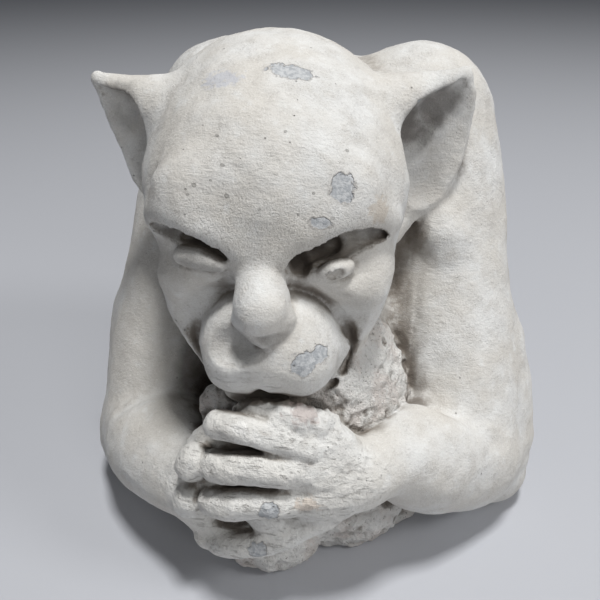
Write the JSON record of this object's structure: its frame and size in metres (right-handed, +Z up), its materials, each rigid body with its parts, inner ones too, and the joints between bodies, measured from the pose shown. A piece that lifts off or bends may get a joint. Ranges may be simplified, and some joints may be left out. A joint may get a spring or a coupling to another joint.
{
  "type": "stone gargoyle",
  "caption": "Crouching stone gargoyle with pointed ears and clasped hands, cast in one piece, that stands on its flat underside.",
  "frame": {"origin": "middle of the bounding box, on the flat underside that the gargoyle stands on", "axes": "+Z up; the gargoyle faces -Y; its left side is +X"},
  "size_m": [0.3078, 0.275, 0.299],
  "materials": {
    "cast_stone": "off-white limewashed cast cement with a fine sandy grain, bug holes, grey-blue chips where the wash has come away, and rough stippled rock"
  },
  "bodies": {
    "root": {"gargoyle": "cast_stone"}
  },
  "joints": []
}
